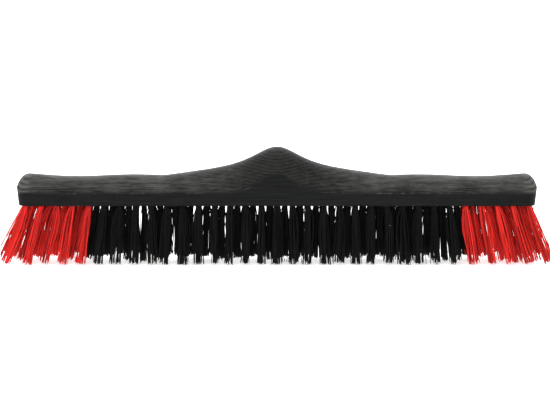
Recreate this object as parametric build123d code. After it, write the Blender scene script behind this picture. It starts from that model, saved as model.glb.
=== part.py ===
from build123d import *
import math
import os

# A push broom head: a saddle-shaped wooden block with a slanted handle bore, five staggered rows of
# bristle tufts in drilled holes, and a wire staple that anchors each tuft.
# Millimetres. +Z is up, +X runs along the block, +Y is the rear, where the handle leaves. The origin is
# on the floor, under the middle of the block, so the bristle tips lie in the plane z = 0.

# Wooden block
block_length = 600.0  # at the widest point of its leaning ends
block_depth = 60.0
side_height = 14.6  # the straight side walls along the arms
arm_height = 32.9  # ridge of the arms, above the underside
hump_height = 66.3  # ridge at the middle, above the underside
hump_reach = 132.0  # distance from the middle where the hump's skirt meets the arm
skirt_slope = 0.135
skirt_round = 12.0  # rounds the skirt over the middle
peak_width = 32.5
shoulder_rise = 23.4  # how much higher the side walls stand at the middle
shoulder_width = 25.0
crown_power = 2.4  # 2 is a parabola across the depth, and more is flatter on top
swell_height = 1.0  # the arms swell and dip by this much
swell_length = 130.0
swell_crest = 165.0  # distance of the swell from the middle
flare_height = 2.1  # the arms' ends stand this much higher
flare_length = 55.0
end_roll = 13.0  # length over which the ridge rolls down to the end wall
end_roll_left = 0.42  # share of the crown that is left at the end wall
end_height = 21.8  # the end walls lean out up to here
end_lean = 2.4  # how far the end walls lean out by then
corner_radius = 10.0  # upright corners
edge_roll = 1.6  # width of the sanded edge between the crown and the side walls
edge_drop = 1.4  # how far that edge rolls down, below the crown's own curve
base_edge_radius = 1.5

# Handle bore
handle_diameter = 28.0
handle_tilt = 40.0  # degrees from upright, towards the rear
bore_height = 33.6  # where its axis crosses the middle of the block, above the underside
bore_clearance = 2.85  # wood between its flat bottom and the middle row's staples

# Tufts
bristle_height = 68.0  # free height, from the floor to the block's underside
tufts_in_long_row = 33
red_in_long_row = 5  # at each end
red_in_short_row = 4
end_margin = 10.0  # block's end to the centre of the last hole
side_margin = 7.0  # block's side to the centres of the outer rows' holes
hole_diameter = 6.5
hole_depth = 13.0
drill_point = 118.0
root_clearance = 0.05
tip_diameter = 11.0
fan_start = 160.0  # tufts further out than this lean outwards
fan_lean = 19.0  # degrees, at the last tuft
row_lean = 4.5  # degrees for each row away from the middle one

# Staples
wire_diameter = 0.9
staple_width = 4.4  # between the middles of its legs
staple_bend = 1.0  # radius of the wire's middle line
crown_below_bottom = 3.0  # staple's crown to the bottom of the hole
leg_in_wood = 6.0

rows = ["front", "second", "middle", "fourth", "rear"]
surface_margin = 2.0  # how far the crown surface is drawn past the block, before it is trimmed
overshoot = 2.0  # how far a cutter starts outside the wood


def arm_ridge(x):
    swell = swell_height * math.cos(2 * math.pi * (abs(x) - swell_crest) / swell_length)
    t = min(1.0, max(0.0, (abs(x) - block_length / 2 + flare_length) / flare_length))
    return arm_height + swell + flare_height * t * t


def hump_ridge(x):
    skirt = skirt_slope * (hump_reach - math.hypot(x, skirt_round))
    peak_height = hump_height - arm_height - skirt_slope * (hump_reach - skirt_round)
    return arm_height + skirt + peak_height / math.cosh(x / peak_width) ** 2


def ridge(x):
    return max(arm_ridge(x), hump_ridge(x))


def side_wall(x):
    return side_height + shoulder_rise / math.cosh(x / shoulder_width) ** 2


def end_share(x):
    """How much of the crown is left at x, where it rolls down to the end wall."""
    semi_axis = end_roll / math.sqrt(1 - end_roll_left**2)
    t = (abs(x) - block_length / 2 + end_roll) / semi_axis
    steepest = end_roll / semi_axis
    if t <= 0:
        return 1.0
    if t <= steepest:
        return math.sqrt(1 - t * t)
    return end_roll_left - (t - steepest) * steepest / end_roll_left


def crown_point(x, y):
    """The crown over x and y: a curve across the block that rolls down to the side walls at its edges."""
    low = side_wall(x) + edge_drop
    across = 1 - abs(2 * y / block_depth) ** crown_power
    t = max(0.0, 1 + (abs(y) - block_depth / 2) / edge_roll)
    return Vector(x, y, bristle_height + low + (ridge(x) - low) * across * end_share(x) - edge_drop * t * t)


def spread(low, high, count):
    return [low + (high - low) * i / (count - 1) for i in range(count)]


def crown_surface():
    straight = block_length / 2 - end_roll
    end = block_length / 2 + surface_margin
    roll = spread(straight, end, 13)[1:]
    xs = [-x for x in reversed(roll)] + spread(-straight, straight, 115) + roll
    flat = block_depth / 2 - edge_roll
    side = block_depth / 2 + surface_margin
    edge = spread(flat, side, 8)[1:]
    ys = [-y for y in reversed(edge)] + spread(-flat, flat, 17) + edge
    return Face.make_surface_from_array_of_points([[crown_point(x, y) for y in ys] for x in xs], tol=0.02)


def blank():
    """The sawn blank: ends that lean out towards the top, and rounded upright corners."""
    height = hump_height + 2 * surface_margin
    foot = block_length / 2 - end_lean
    head = foot + end_lean * height / end_height
    outline = Polyline((-foot, 0), (foot, 0), (head, height), (-head, height), close=True)
    solid = extrude(Plane.XZ * make_face(outline), amount=block_depth / 2, both=True)
    corners = [edge for edge in solid.edges() if edge.bounding_box().size.Z > height / 2]
    return Pos(0, 0, bristle_height) * fillet(corners, corner_radius)


def shaped_block():
    under_crown = extrude(crown_surface(), amount=2 * hump_height, dir=(0, 0, -1))
    block = blank() & under_crown
    underside = block.faces().sort_by(Axis.Z)[0]
    return fillet(underside.edges(), base_edge_radius)


def bore_cutter():
    """Leaves through the rear of the hump. Its axis crosses the middle of the block at bore_height."""
    axis = Plane(
        origin=(0, 0, bristle_height + bore_height),
        x_dir=(1, 0, 0),
        z_dir=(0, math.sin(math.radians(handle_tilt)), math.cos(math.radians(handle_tilt))),
    )
    anchor_height = hole_depth + leg_in_wood
    down = (bore_height - anchor_height - bore_clearance) * math.cos(math.radians(handle_tilt))
    return axis * Pos(0, 0, (hump_height - down) / 2) * Cylinder(handle_diameter / 2, hump_height + down)


def staple(wire_radius):
    """Upright in a hole's own frame: the crown lies across the hole, and the legs point into the wood."""
    low = hole_depth - crown_below_bottom
    high = hole_depth + leg_in_wood
    side = staple_width / 2
    corners = [(-side, 0, high), (-side, 0, low), (side, 0, low), (side, 0, high)]
    path = FilletPolyline(*corners, radius=staple_bend)
    return sweep(Plane(origin=corners[0], z_dir=(0, 0, -1)) * Circle(wire_radius), path)


def hole_cutter():
    radius = hole_diameter / 2
    point = radius / math.tan(math.radians(drill_point / 2))
    straight = Pos(0, 0, (hole_depth - overshoot) / 2) * Cylinder(radius, hole_depth + overshoot)
    tip = Pos(0, 0, hole_depth + point / 2) * Cone(radius, 0, point)
    return straight + tip + staple(wire_diameter / 2)


def long_tuft():
    """A folded bundle in its hole's own frame, longer than the free height, before it is trimmed."""
    radius = hole_diameter / 2 - root_clearance
    top = hole_depth - root_clearance
    length = 1.25 * bristle_height
    spread_radius = radius + (tip_diameter / 2 - radius) * length / bristle_height
    fan = Pos(0, 0, -length / 2) * Cone(spread_radius, radius, length)
    root = Pos(0, 0, (top - radius) / 2) * Cylinder(radius, top - radius)
    fold = Pos(0, 0, top - radius) * Rot(0, 90, 0) * Cylinder(radius, 3 * radius)
    fold = fold & Pos(0, 0, top - radius) * Cylinder(radius, 2 * radius)
    return fan + root + fold - staple(wire_diameter / 2 + root_clearance)


def row_places(row):
    """The frames of a row's holes, from left to right: the origin in the mouth, and +Z into the wood."""
    count = tufts_in_long_row - row % 2
    pitch = (block_length - 2 * end_margin) / (tufts_in_long_row - 1)
    rows_out = row - (len(rows) - 1) / 2
    y = rows_out * (block_depth - 2 * side_margin) / (len(rows) - 1)
    lean_y = math.radians(row_lean * rows_out)
    places = []
    for i in range(count):
        x = (i - (count - 1) / 2) * pitch
        fan = fan_lean * max(0.0, abs(x) - fan_start) / (block_length / 2 - end_margin - fan_start)
        lean_x = math.copysign(math.radians(fan), x)
        into_wood = (-math.tan(lean_x), -math.tan(lean_y), 1)
        places.append(Plane(origin=(x, y, bristle_height), x_dir=(1, 0, 0), z_dir=into_wood))
    return places


def trimmed(tuft):
    return split(tuft, bisect_by=Plane.XY, keep=Keep.TOP)


os.makedirs("parts", exist_ok=True)

holes = []
hole = hole_cutter()
tuft = long_tuft()
anchor = staple(wire_diameter / 2)
for row, row_name in enumerate(rows):
    places = row_places(row)
    red = red_in_short_row if row % 2 else red_in_long_row
    tufts = [trimmed(place * tuft) for place in places]
    export_step(Compound(children=tufts[:red]), f"parts/{row_name}_row_red_left_tufts.step")
    export_step(Compound(children=tufts[red:-red]), f"parts/{row_name}_row_black_tufts.step")
    export_step(Compound(children=tufts[-red:]), f"parts/{row_name}_row_red_right_tufts.step")
    staples = [place * anchor for place in places]
    export_step(Compound(children=staples), f"parts/{row_name}_row_staples.step")
    holes += [place * hole for place in places]

wooden_block = shaped_block() - bore_cutter() - holes
export_step(wooden_block, "parts/wooden_block.step")
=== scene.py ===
import math
import random

import bmesh
import bpy
import numpy as np
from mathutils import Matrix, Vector


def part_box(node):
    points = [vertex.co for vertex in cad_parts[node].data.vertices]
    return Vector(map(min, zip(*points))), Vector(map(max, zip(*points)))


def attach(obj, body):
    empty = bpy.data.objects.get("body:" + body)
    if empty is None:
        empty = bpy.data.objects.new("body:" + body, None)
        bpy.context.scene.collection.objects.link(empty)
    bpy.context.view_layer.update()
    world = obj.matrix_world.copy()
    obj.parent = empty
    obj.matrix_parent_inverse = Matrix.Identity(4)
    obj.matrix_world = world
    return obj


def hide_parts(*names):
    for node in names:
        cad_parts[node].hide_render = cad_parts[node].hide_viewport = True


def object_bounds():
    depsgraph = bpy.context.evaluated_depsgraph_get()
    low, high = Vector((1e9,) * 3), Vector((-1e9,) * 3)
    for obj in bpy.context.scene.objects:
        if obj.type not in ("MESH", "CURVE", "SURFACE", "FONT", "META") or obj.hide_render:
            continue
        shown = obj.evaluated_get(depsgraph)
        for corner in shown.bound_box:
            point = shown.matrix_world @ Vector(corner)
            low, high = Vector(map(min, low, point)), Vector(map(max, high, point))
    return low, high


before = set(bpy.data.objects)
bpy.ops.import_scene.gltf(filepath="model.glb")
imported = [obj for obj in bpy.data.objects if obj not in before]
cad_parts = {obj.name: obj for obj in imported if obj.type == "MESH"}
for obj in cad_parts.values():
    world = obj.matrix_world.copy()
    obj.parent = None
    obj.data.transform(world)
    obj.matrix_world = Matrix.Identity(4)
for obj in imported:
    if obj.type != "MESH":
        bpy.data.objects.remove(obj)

# Push broom head: a black-lacquered beech block and rows of folded bristle tufts, red at both ends and
# black between them, each held in its hole by a wire staple. Metres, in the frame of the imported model.
cad_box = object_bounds()
MM = 0.001
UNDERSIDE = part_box("wooden_block")[0].z
ROWS = ["front", "second", "middle", "fourth", "rear"]


def put_in_scene(name, data):
    """A new object at the origin."""
    made = bpy.data.objects.new(name, data)
    bpy.context.scene.collection.objects.link(made)
    return made


# ---- camera -------------------------------------------------------------------------------------------

VIEW_WIDTH = 0.6319  # what the view takes in from left to right, at the block's front face
VIEW_DISTANCE = 2.3
VIEW_ELEVATION = math.radians(7.0)
VIEW_TARGET = Vector((-0.0022, -0.030, 0.0678))

camera = put_in_scene("studio_camera", bpy.data.cameras.new("studio_camera"))
camera.data.lens = camera.data.sensor_width * VIEW_DISTANCE / VIEW_WIDTH
camera.data.clip_end = 50.0
towards_camera = Vector((0, -math.cos(VIEW_ELEVATION), math.sin(VIEW_ELEVATION)))
camera.location = VIEW_TARGET + VIEW_DISTANCE * towards_camera
camera.rotation_euler = (math.pi / 2 - VIEW_ELEVATION, 0, 0)
bpy.context.scene.camera = camera


# ---- materials ----------------------------------------------------------------------------------------

SIDE_HEIGHT = 14.6 * MM  # height of the block's shaped edge over its underside, along the arms
SHOULDER_RISE = 23.4 * MM  # how much higher that edge is at the middle
SHOULDER_WIDTH = 25.0 * MM
RING_SPACING = 2.6 * MM
WAVE_REPEAT = 0.314  # a ring texture of scale 1 repeats at this distance
PITH = Vector((0.0, 12 * MM, 20 * MM))  # middle of the growth rings, below the block


def linear(code):
    """An sRGB hex colour as linear RGBA."""
    parts = [int(code[i : i + 2], 16) / 255 for i in (1, 3, 5)]
    return tuple(p / 12.92 if p <= 0.04045 else ((p + 0.055) / 1.055) ** 2.4 for p in parts) + (1.0,)


def scale_for(*sizes):
    """The scale along each axis that gives a noise patches of these sizes."""
    return tuple(1 / size for size in sizes)


def add(tree, kind, sockets, **settings):
    """Adds a node with its settings. A socket takes a value, or as a link another node's output. A node
    stands for its own first output."""
    node = tree.nodes.new("ShaderNode" + kind)
    for name, value in settings.items():
        setattr(node, name, value)
    for name, value in sockets.items():
        if isinstance(value, bpy.types.Node):
            value = value.outputs[0]
        if isinstance(value, bpy.types.NodeSocket):
            tree.links.new(value, node.inputs[name])
        else:
            node.inputs[name].default_value = value
    return node


def blank_material(name):
    material = bpy.data.materials.new(name)
    material.use_nodes = True
    material.node_tree.nodes.clear()
    return material


def black_lacquered_beech():
    """Beech, shaped on a spindle moulder and dipped in thin black lacquer. The lacquer is satin and sinks
    into the grain, so fibres, growth rings and a blotchy sanding pattern show, and the sharp edge between
    the crown and the side walls is rubbed to a brownish grey in places."""
    material = blank_material("black_lacquered_beech")
    tree = material.node_tree
    place = add(tree, "TexCoord", {}).outputs["Object"]
    at = add(tree, "SeparateXYZ", {0: place})
    out_along = add(tree, "Math", {0: at.outputs["X"]}, operation="ABSOLUTE")

    # Fibres, as streaks 0.8 mm wide and 32 mm long, coarser than real ones so that they show.
    stretched = add(tree, "Mapping", {"Vector": place, "Scale": scale_for(32 * MM, 0.8 * MM, 0.8 * MM)})
    fibres = add(tree, "TexNoise", {"Vector": stretched, "Scale": 1.0, "Detail": 5.0, "Roughness": 0.65})

    # Blotches of the sanded and dipped surface.
    stretched = add(tree, "Mapping", {"Vector": place, "Scale": scale_for(14 * MM, 4 * MM, 4 * MM)})
    blotches = add(
        tree, "TexNoise",
        {"Vector": stretched, "Scale": 1.0, "Detail": 6.0, "Roughness": 0.66, "Distortion": 0.6},
    )

    # Painted sheen: lighter patches about 30 mm across, at random, standing in for satin highlights on the
    # crown.
    sheen_patches = add(tree, "TexNoise", {"Vector": place, "Scale": 1 / (30 * MM), "Detail": 2.0})

    # Growth rings round the pith. They show where the crown is cut across them: on the hump and on the
    # rolled ends.
    from_pith = add(tree, "Mapping", {"Vector": place, "Location": -PITH})
    rings = add(
        tree, "TexWave",
        {"Vector": from_pith, "Scale": WAVE_REPEAT / RING_SPACING, "Distortion": 0.9, "Detail": 3.0,
         "Detail Scale": 2.5, "Detail Roughness": 0.6},
        wave_type="RINGS", rings_direction="X", wave_profile="SIN",
    ).outputs["Fac"]
    on_hump = add(
        tree, "MapRange",
        {"Value": out_along, "From Min": 45 * MM, "From Max": 18 * MM, "To Min": 0.04, "To Max": 0.12},
    )
    rolled_end = add(
        tree, "MapRange", {"Value": out_along, "From Min": 282 * MM, "From Max": 290 * MM, "To Max": 0.25}
    )
    cut_across = add(tree, "Math", {0: on_hump, 1: rolled_end}, operation="ADD")

    # The crown lies above the shaped edge, and the side walls below it. Height of that edge at each x:
    away = add(tree, "Math", {0: at.outputs["X"], 1: SHOULDER_WIDTH}, operation="DIVIDE")
    cosh = add(tree, "Math", {0: away}, operation="COSH")
    squared = add(tree, "Math", {0: cosh, 1: 2.0}, operation="POWER")
    shoulder = add(tree, "Math", {0: SHOULDER_RISE, 1: squared}, operation="DIVIDE")
    edge_height = add(tree, "Math", {0: shoulder, 1: UNDERSIDE + SIDE_HEIGHT}, operation="ADD")
    above = add(tree, "Math", {0: at.outputs["Z"], 1: edge_height}, operation="SUBTRACT")
    crown = add(tree, "MapRange", {"Value": above, "From Min": -0.8 * MM, "From Max": 3.5 * MM})

    # Tone of the crown, with its grain, painted lighter than the side walls: a painted top light, as the
    # crown faces the light from above.
    # The crown's figure holds the fibres, blotches and growth rings, and also the painted sheen patches.
    figure_and_sheen = add(tree, "Math", {0: fibres, 1: 0.60}, operation="MULTIPLY")
    figure_and_sheen = add(tree, "Math", {0: blotches, 1: 0.36, 2: figure_and_sheen}, operation="MULTIPLY_ADD")
    figure_and_sheen = add(tree, "Math", {0: sheen_patches, 1: 0.30, 2: figure_and_sheen}, operation="MULTIPLY_ADD")
    figure_and_sheen = add(tree, "Math", {0: rings, 1: cut_across, 2: figure_and_sheen}, operation="MULTIPLY_ADD")
    share = add(tree, "MapRange", {"Value": figure_and_sheen, "From Min": 0.54, "From Max": 0.88})
    tone = add(tree, "Mix", {"Factor": share, 6: linear("#070808"), 7: linear("#4e4e4b")}, data_type="RGBA")
    # Painted shade on the hump: the crown is painted darker towards the middle, up to 0.70 of the way to near
    # black.
    painted_hump_shade = add(
        tree, "MapRange", {"Value": out_along, "From Min": 90 * MM, "From Max": 28 * MM, "To Max": 0.70}
    )
    tone = add(tree, "Mix", {"Factor": painted_hump_shade, 6: tone.outputs[2], 7: linear("#070707")}, data_type="RGBA")
    # The side walls are painted near black, much darker than the crown: painted shade on faces that turn away
    # from the light above.
    share = add(tree, "MapRange", {"Value": fibres, "From Min": 0.3, "From Max": 0.7})
    walls = add(tree, "Mix", {"Factor": share, 6: linear("#010202"), 7: linear("#161717")}, data_type="RGBA")
    wood = add(tree, "Mix", {"Factor": crown, 6: walls.outputs[2], 7: tone.outputs[2]}, data_type="RGBA")

    # Wear: the shaped edge is rubbed in short dashes.
    from_edge = add(tree, "Math", {0: above, 1: 0.3 * MM}, operation="SUBTRACT")
    from_edge = add(tree, "Math", {0: from_edge}, operation="ABSOLUTE")
    on_edge = add(tree, "MapRange", {"Value": from_edge, "From Min": 0.9 * MM, "From Max": 0.3 * MM})
    stretched = add(tree, "Mapping", {"Vector": place, "Scale": scale_for(9 * MM, 4 * MM, 4 * MM)})
    rubs = add(tree, "TexNoise", {"Vector": stretched, "Scale": 1.0, "Detail": 4.0, "Roughness": 0.7})
    rubbed = add(tree, "MapRange", {"Value": rubs, "From Min": 0.52, "From Max": 0.74, "To Max": 0.45})
    worn = add(tree, "Math", {0: on_edge, 1: rubbed}, operation="MULTIPLY")
    colour = add(tree, "Mix", {"Factor": worn, 6: wood.outputs[2], 7: linear("#6a645b")}, data_type="RGBA")

    roughness = add(
        tree, "MapRange",
        {"Value": blotches, "From Min": 0.3, "From Max": 0.7, "To Min": 0.58, "To Max": 0.40},
    )
    relief = add(tree, "Math", {0: rings, 1: 0.35, 2: fibres}, operation="MULTIPLY_ADD")
    relief = add(tree, "Math", {0: blotches, 1: 0.9, 2: relief}, operation="MULTIPLY_ADD")
    relief = add(tree, "Math", {0: relief, 1: crown}, operation="MULTIPLY")
    bump = add(tree, "Bump", {"Height": relief, "Strength": 0.9, "Distance": 0.60 * MM})
    surface = add(
        tree, "BsdfPrincipled",
        {"Base Color": colour.outputs[2], "Roughness": roughness, "IOR": 1.45, "Specular IOR Level": 0.10,
         "Normal": bump},
    )
    add(tree, "OutputMaterial", {"Surface": surface})
    return material


def drawn_polypropylene(name, dark, light, shine):
    """Polypropylene filament, drawn through a die. It is smooth and slightly waxy, so each filament has a
    soft long highlight, and no two take the same shade in a bundle."""
    material = blank_material(name)
    tree = material.node_tree
    place = add(tree, "TexCoord", {}).outputs["Object"]
    tone = add(tree, "Attribute", {}, attribute_name="filament_tone").outputs["Fac"]
    # Unevenness from drawing, about as wide as a filament and 12 mm long.
    stretched = add(tree, "Mapping", {"Vector": place, "Scale": scale_for(1.2 * MM, 1.2 * MM, 12 * MM)})
    drawing = add(tree, "TexNoise", {"Vector": stretched, "Scale": 1.0, "Detail": 2.0})
    mixed = add(tree, "Math", {0: drawing, 1: 0.3, 2: tone}, operation="MULTIPLY_ADD")
    share = add(tree, "MapRange", {"Value": mixed, "From Min": 0.1, "From Max": 1.15})
    colour = add(tree, "Mix", {"Factor": share, 6: linear(dark), 7: linear(light)}, data_type="RGBA")
    roughness = add(tree, "MapRange", {"Value": drawing, "To Min": 0.36, "To Max": 0.50})
    bump = add(tree, "Bump", {"Height": drawing, "Strength": 0.25, "Distance": 0.05 * MM})
    surface = add(
        tree, "BsdfPrincipled",
        {"Base Color": colour.outputs[2], "Roughness": roughness, "IOR": 1.49, "Specular IOR Level": shine,
         "Normal": bump},
    )
    add(tree, "OutputMaterial", {"Surface": surface})
    return material


def bright_drawn_steel():
    """Steel staple wire, bright drawn: grey, with faint lines along the wire."""
    material = blank_material("bright_drawn_steel_wire")
    tree = material.node_tree
    place = add(tree, "TexCoord", {}).outputs["Object"]
    # Drawing lines, 0.2 mm apart and coarser than real ones so that they show.
    stretched = add(tree, "Mapping", {"Vector": place, "Scale": scale_for(0.2 * MM, 0.2 * MM, 4 * MM)})
    lines = add(tree, "TexNoise", {"Vector": stretched, "Scale": 1.0, "Detail": 2.0})
    colour = add(tree, "Mix", {"Factor": lines, 6: linear("#9b9b98"), 7: linear("#c9c9c6")}, data_type="RGBA")
    roughness = add(tree, "MapRange", {"Value": lines, "To Min": 0.25, "To Max": 0.45})
    surface = add(
        tree, "BsdfPrincipled", {"Base Color": colour.outputs[2], "Metallic": 1.0, "Roughness": roughness}
    )
    add(tree, "OutputMaterial", {"Surface": surface})
    return material


# ---- block --------------------------------------------------------------------------------------------

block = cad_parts["wooden_block"]
block_finish = black_lacquered_beech()
for material_slot in block.material_slots:
    material_slot.material = block_finish


# ---- tufts --------------------------------------------------------------------------------------------

FILAMENT_RADIUS = 0.45 * MM
ROOT_HEIGHT = 9.4 * MM  # the filaments' ends in the hole, just under the staple's crown
PACKING = 0.915 * MM  # from one filament's middle to the next at the mouth
BUNDLE_RINGS = 3  # rings of filaments round the staple's wire
STATIONS = [0.0, 0.2, 0.45, 0.72, 1.0]  # shares of the free length at which a filament bends
BOW_SCALE = 27 / 4  # t * (1 - t) ** 2 is 4 / 27 where it is greatest

# How tufts differ. Cuts and spreads are from the least to the most, and shifts and bows are standard
# deviations, along the block and across it.
FRONT_CUT = (0.0, 0.8 * MM)  # how much shorter the front row's tufts are cut
OTHER_CUT = (0.5 * MM, 7.5 * MM)
TUFT_SPREAD = (1.5, 2.25)  # how many times wider a tuft is at its tips than in its hole
TUFT_SHIFT = (1.2 * MM, 1.0 * MM)
TUFT_BOW = (0.7 * MM, 0.5 * MM)
SLANT_CUT = 0.35  # a leaning tuft's outer filaments are cut higher, by this share of lean times distance

# Filaments gather in clumps towards the floor. Shifts and cuts are standard deviations.
CLUMPS = 5
CLUMP_REACH = 3.0 * MM  # the clumps' middles are within this of the hole's axis, both ways
CLUMP_SHIFT = 1.2 * MM
CLUMP_CUT = 1.6 * MM

# How filaments differ in a tuft: standard deviations, the pairs along the block and across it.
TIP_SHIFT = (0.85 * MM, 0.7 * MM)
BOW = (0.7 * MM, 0.6 * MM)
RAGGED_CUT = 2.1 * MM

# Some filaments stray, and some splay out of one side of their tuft.
STRAY_SHARE = 0.07
STRAY_FACTOR = 3.0  # a stray filament's shift and bow are this many times larger
SPLAY_SHARE = 0.6  # of the filaments on the side to which a tuft splays
SPLAY_FROM = 1.3 * MM  # that side starts this far from the tuft's middle
SPLAY_BOW = (1.5 * MM, 4.5 * MM)  # the least and the most

# Sprung filaments on the outer sides of the end tufts.
END_TUFTS = 280 * MM  # tufts further out than this
SPRING_FROM = 0.6 * MM  # the outer side starts this far from the tuft's middle
SPRING_POWER = 1.5  # more than 1 keeps most of them near the tuft
SPRING = {-1: 15.5 * MM, 1: 4.5 * MM}  # the furthest they spring out at the tips, left and right
X_LIMIT = cad_box[1].x - 1.5 * MM  # a filament is cut short where it would pass this

# What keeps a filament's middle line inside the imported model's box.
BOX_MARGIN = 0.5 * MM
FLOOR_MARGIN = 0.3 * MM

TUFT_GAP = 4 * MM  # in a row, the solid tufts' round edges are further apart than this

chance = random.Random(7)


def ring_centres(node, height, reach):
    """Middles of the tufts' round edges within reach of a height, from left to right."""
    co = np.empty(len(node.data.vertices) * 3)
    node.data.vertices.foreach_get("co", co)
    co = co.reshape(-1, 3)
    co = co[(co[:, 2] > height - reach) & (co[:, 2] < height + reach)]
    co = co[np.argsort(co[:, 0])]
    next_tuft = np.nonzero(np.diff(co[:, 0]) > TUFT_GAP)[0] + 1
    return [Vector((part.min(0) + part.max(0)) / 2) for part in np.split(co, next_tuft)]


def filament_template():
    """A six-sided rod of radius 1 that is cut across at each station: z is the station's number."""
    rod = bmesh.new()
    length = len(STATIONS)
    bmesh.ops.create_cone(
        rod, cap_ends=True, cap_tris=False, segments=6, radius1=1, radius2=1, depth=length
    )
    bmesh.ops.translate(rod, verts=rod.verts, vec=(0, 0, length / 2))
    for station in range(1, length):
        everything = rod.verts[:] + rod.edges[:] + rod.faces[:]
        bmesh.ops.bisect_plane(rod, geom=everything, plane_co=(0, 0, station), plane_no=(0, 0, 1))
    bmesh.ops.recalc_face_normals(rod, faces=rod.faces)
    for face in rod.faces:
        face.smooth = len(face.verts) == 4
    mesh = bpy.data.meshes.new("filament_template")
    rod.to_mesh(mesh)
    rod.free()
    return mesh


def bundle_section():
    """Places of the filaments across a hole, in rings of 6, 12 and 18 round the staple's wire."""
    places = []
    for a in range(-BUNDLE_RINGS, BUNDLE_RINGS + 1):
        for b in range(-BUNDLE_RINGS, BUNDLE_RINGS + 1):
            if 0 < max(abs(a), abs(b), abs(a + b)) <= BUNDLE_RINGS:
                places.append((PACKING * (a + b / 2), PACKING * b * math.sqrt(3) / 2))
    return places


def clumps():
    """A few places in the bundle round which filaments gather, each with its shift and cut at the tip."""
    found = []
    for _ in range(CLUMPS):
        place = (chance.uniform(-1, 1) * CLUMP_REACH, chance.uniform(-1, 1) * CLUMP_REACH)
        shift = (chance.gauss(0, CLUMP_SHIFT), chance.gauss(0, CLUMP_SHIFT))
        found.append({"place": place, "shift": shift, "cut": abs(chance.gauss(0, CLUMP_CUT))})
    return found


def tuft_plan(mouth, tip, cut_range):
    """What the filaments of a tuft share. Across is along the block, and over is from rear to front."""
    lean = (tip - mouth).normalized()
    over = lean.cross(Vector((1, 0, 0))).normalized()
    return {
        "mouth": mouth,
        "lean": lean,
        "over": over,
        "across": over.cross(lean).normalized(),
        "tip": tip + Vector((chance.gauss(0, TUFT_SHIFT[0]), chance.gauss(0, TUFT_SHIFT[1]), 0)),
        "spread": chance.uniform(*TUFT_SPREAD),
        "clumps": clumps(),
        "cut": chance.uniform(*cut_range),
        "splay": chance.choice([-1, 0, 1]),
        "bow": (chance.gauss(0, TUFT_BOW[0]), chance.gauss(0, TUFT_BOW[1])),
    }


def filament_route(tuft, root):
    """Points of one filament from its root in the hole to its cut tip."""
    mouth, tip, across, over = tuft["mouth"], tuft["tip"], tuft["across"], tuft["over"]
    spread = tuft["spread"]
    clump = min(tuft["clumps"], key=lambda c: math.hypot(c["place"][0] - root[0], c["place"][1] - root[1]))
    side = math.copysign(1, mouth.x)
    outward = root[0] * side
    spring = 0.0
    if abs(mouth.x) > END_TUFTS and outward > SPRING_FROM:
        spring = side * chance.random() ** SPRING_POWER * SPRING[side]
    bow = tuft["bow"]
    if tuft["splay"] * root[0] > SPLAY_FROM and chance.random() < SPLAY_SHARE:
        bow = (bow[0] + tuft["splay"] * chance.uniform(*SPLAY_BOW), bow[1])

    stray = STRAY_FACTOR if chance.random() < STRAY_SHARE else 1.0
    start = mouth + across * root[0] + over * root[1]
    end = tip + across * (spread * root[0] + clump["shift"][0] + chance.gauss(0, TIP_SHIFT[0] * stray))
    end = end + over * (spread * root[1] + clump["shift"][1] + chance.gauss(0, TIP_SHIFT[1] * stray))
    end.x += spring
    bend = across * (bow[0] + chance.gauss(0, BOW[0] * stray))
    bend = bend + over * (bow[1] + chance.gauss(0, BOW[1] * stray))
    slant = SLANT_CUT * abs(tuft["lean"].x) * max(0.0, outward * spread)
    lift = tuft["cut"] + slant + clump["cut"] + abs(chance.gauss(0, RAGGED_CUT))
    reach = 1 - lift / (start.z - end.z)
    reach = min(reach, (X_LIMIT - abs(start.x)) / max(abs(end.x) - abs(start.x), MM))

    points = [start - (tip - mouth).normalized() * ROOT_HEIGHT]
    for station in STATIONS:
        t = station * reach
        points.append(start.lerp(end, t) + bend * BOW_SCALE * t * (1 - t) ** 2)
    return [inside_box(point) for point in points]


def inside_box(point):
    """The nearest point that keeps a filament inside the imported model's box and above the floor."""
    lowest, highest = cad_box
    x = min(max(point.x, lowest[0] + BOX_MARGIN), highest[0] - BOX_MARGIN)
    y = min(max(point.y, lowest[1] + BOX_MARGIN), highest[1] - BOX_MARGIN)
    return (x, y, max(point.z, FLOOR_MARGIN))


def filament_mesh(name, routes, frames):
    """One mesh with a rod along each route; a frame holds the two directions across its tuft."""
    template = filament_template()
    rod = np.empty(len(template.vertices) * 3)
    template.vertices.foreach_get("co", rod)
    rod = rod.reshape(-1, 3)
    bundle = bmesh.new()
    for _ in routes:
        bundle.from_mesh(template)
    mesh = bpy.data.meshes.new(name)
    bundle.to_mesh(mesh)
    bundle.free()
    bpy.data.meshes.remove(template)

    station = np.rint(rod[:, 2]).astype(int)
    frames = np.array(frames)
    across = rod[None, :, 0, None] * frames[:, None, 0, :]
    over = rod[None, :, 1, None] * frames[:, None, 1, :]
    co = np.array(routes)[:, station, :] + FILAMENT_RADIUS * (across + over)
    mesh.vertices.foreach_set("co", co.ravel())
    tones = np.repeat([chance.random() for _ in routes], len(rod))
    mesh.attributes.new("filament_tone", "FLOAT", "POINT").data.foreach_set("value", tones)
    mesh.update()
    return mesh


def tuft_filaments(node, name, finish, cut_range):
    """Replaces a node's solid tufts with their filaments, and returns the tufts' mouths and tips."""
    mouths = ring_centres(node, UNDERSIDE, 1.5 * MM)
    tips = ring_centres(node, 0.0, 0.01 * MM)
    section = bundle_section()
    routes = []
    frames = []
    for mouth, tip in zip(mouths, tips):
        tuft = tuft_plan(mouth, tip, cut_range)
        routes += [filament_route(tuft, root) for root in section]
        frames += [(tuple(tuft["across"]), tuple(tuft["over"]))] * len(section)
    mesh = filament_mesh(name, routes, frames)
    mesh.materials.append(finish)
    piece = put_in_scene(name, mesh)
    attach(piece, "root")
    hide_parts(node.name)
    return zip(mouths, tips)


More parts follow.
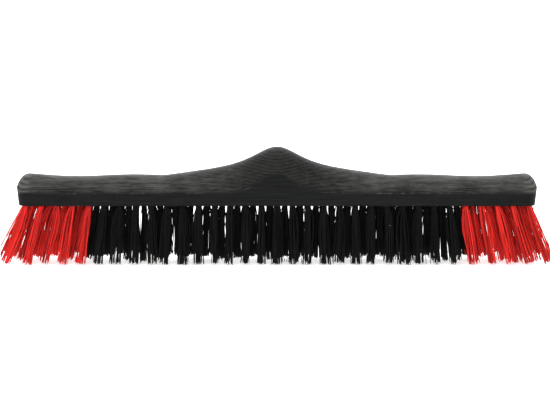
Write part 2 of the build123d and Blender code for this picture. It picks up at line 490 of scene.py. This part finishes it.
red_filament = drawn_polypropylene("red_drawn_polypropylene", "#650103", "#fb322b", 0.15)
black_filament = drawn_polypropylene("black_drawn_polypropylene", "#010101", "#0b0b0b", 0.12)
colours = {
    "red_left": (red_filament, "red_bristle"),
    "black": (black_filament, "black_bristle"),
    "red_right": (red_filament, "red_bristle"),
}
holes = {row: [] for row in ROWS}
for row in ROWS:
    cut_range = FRONT_CUT if row == "front" else OTHER_CUT
    for colour, (finish, slot_name) in colours.items():
        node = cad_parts[f"{row}_row_{colour}_tufts"]
        holes[row] += tuft_filaments(node, f"{row}_row_{colour}_filaments", finish, cut_range)


# ---- staples ------------------------------------------------------------------------------------------

WIRE_RADIUS = 0.45 * MM
STAPLE_SIDE = 2.2 * MM  # from the hole's axis to a leg's middle line
STAPLE_CROWN = 10.0 * MM  # height of the crown in the hole, over its mouth
STAPLE_LEG_END = 19.0 * MM
STAPLE_BEND = 1.0 * MM
STEPS_IN_BEND = 2


def staple_line():
    """Middle line of a staple: across and into the hole, from one leg's end to the other's."""
    half = [(STAPLE_SIDE, STAPLE_LEG_END)]
    for step in range(STEPS_IN_BEND + 1):
        turned = math.pi / 2 * step / STEPS_IN_BEND
        across = STAPLE_SIDE - STAPLE_BEND * (1 - math.cos(turned))
        half.append((across, STAPLE_CROWN + STAPLE_BEND * (1 - math.sin(turned))))
    return half + [(-across, into) for across, into in reversed(half)]


def row_of_staples(row, finish):
    """Replaces a row's staples with the same ones as round wire along a curve."""
    wire = bpy.data.curves.new(f"{row}_row_wire_staples", "CURVE")
    wire.dimensions = "3D"
    wire.bevel_depth = WIRE_RADIUS
    wire.bevel_resolution = 1
    wire.use_fill_caps = True
    for mouth, tip in holes[row]:
        into_wood = (mouth - tip).normalized()
        sideways = (Vector((1, 0, 0)) - into_wood * into_wood.x).normalized()
        points = [mouth + sideways * across + into_wood * into for across, into in staple_line()]
        spline = wire.splines.new("POLY")
        spline.points.add(len(points) - 1)
        for made, point in zip(spline.points, points):
            made.co = (*point, 1.0)
    wire.materials.append(finish)
    piece = put_in_scene(wire.name, wire)
    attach(piece, "root")
    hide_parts(f"{row}_row_staples")


steel = bright_drawn_steel()
for row in ROWS:
    row_of_staples(row, steel)


# ---- studio -------------------------------------------------------------------------------------------

FLOOR_HALF = 8.0  # half the floor's side
WALL_GLOW = 1.6
CEILING_GLOW = 0.20


def white_acrylic():
    """Translucent white acrylic of a light table, lit softly from behind."""
    material = blank_material("white_light_table_acrylic")
    tree = material.node_tree
    surface = add(
        tree, "BsdfPrincipled",
        {"Base Color": linear("#f6f6f5"), "Roughness": 0.8, "Specular IOR Level": 0.0,
         "Emission Color": linear("#ffffff"), "Emission Strength": 0.64},
    )
    add(tree, "OutputMaterial", {"Surface": surface})
    return material


sheet = bmesh.new()
bmesh.ops.create_grid(sheet, x_segments=1, y_segments=1, size=FLOOR_HALF)
floor_mesh = bpy.data.meshes.new("studio_floor")
sheet.to_mesh(floor_mesh)
sheet.free()
floor_mesh.materials.append(white_acrylic())
floor = put_in_scene("studio_floor", floor_mesh)

# White walls all round, and a dimmer ceiling. Heights are those of a direction of length 1.
world = bpy.data.worlds.new("studio_world")
bpy.context.scene.world = world
world.use_nodes = True
room = world.node_tree
direction = add(room, "SeparateXYZ", {0: add(room, "TexCoord", {}).outputs["Generated"]})
height = add(room, "Math", {0: direction.outputs["Z"]}, operation="ABSOLUTE")
glow = add(
    room, "MapRange",
    {"Value": height, "From Min": 0.20, "From Max": 0.60, "To Min": WALL_GLOW, "To Max": CEILING_GLOW},
)
background = room.nodes["Background"]
background.inputs["Color"].default_value = (1.0, 1.0, 1.0, 1.0)
room.links.new(glow.outputs[0], background.inputs["Strength"])


def soft_light(name, place, aim, size, watts):
    light = put_in_scene(name, bpy.data.lights.new(name, "AREA"))
    light.data.shape = "RECTANGLE"
    light.data.size, light.data.size_y = size
    light.data.energy = watts
    light.location = place
    light.rotation_euler = (Vector(aim) - Vector(place)).to_track_quat("-Z", "Y").to_euler()


soft_light("front_softbox", (-0.3, -2.0, 1.7), (0, 0, 0.05), (1.6, 1.0), 21.0)
soft_light("rear_softbox", (0.0, 2.3, 2.0), (0, 0, 0.08), (4.0, 3.2), 100.0)
soft_light("overhead_softbox", (0.0, 0.2, 1.9), (0, 0, 0.08), (2.4, 1.2), 36.0)

bpy.context.scene.view_settings.view_transform = "Standard"
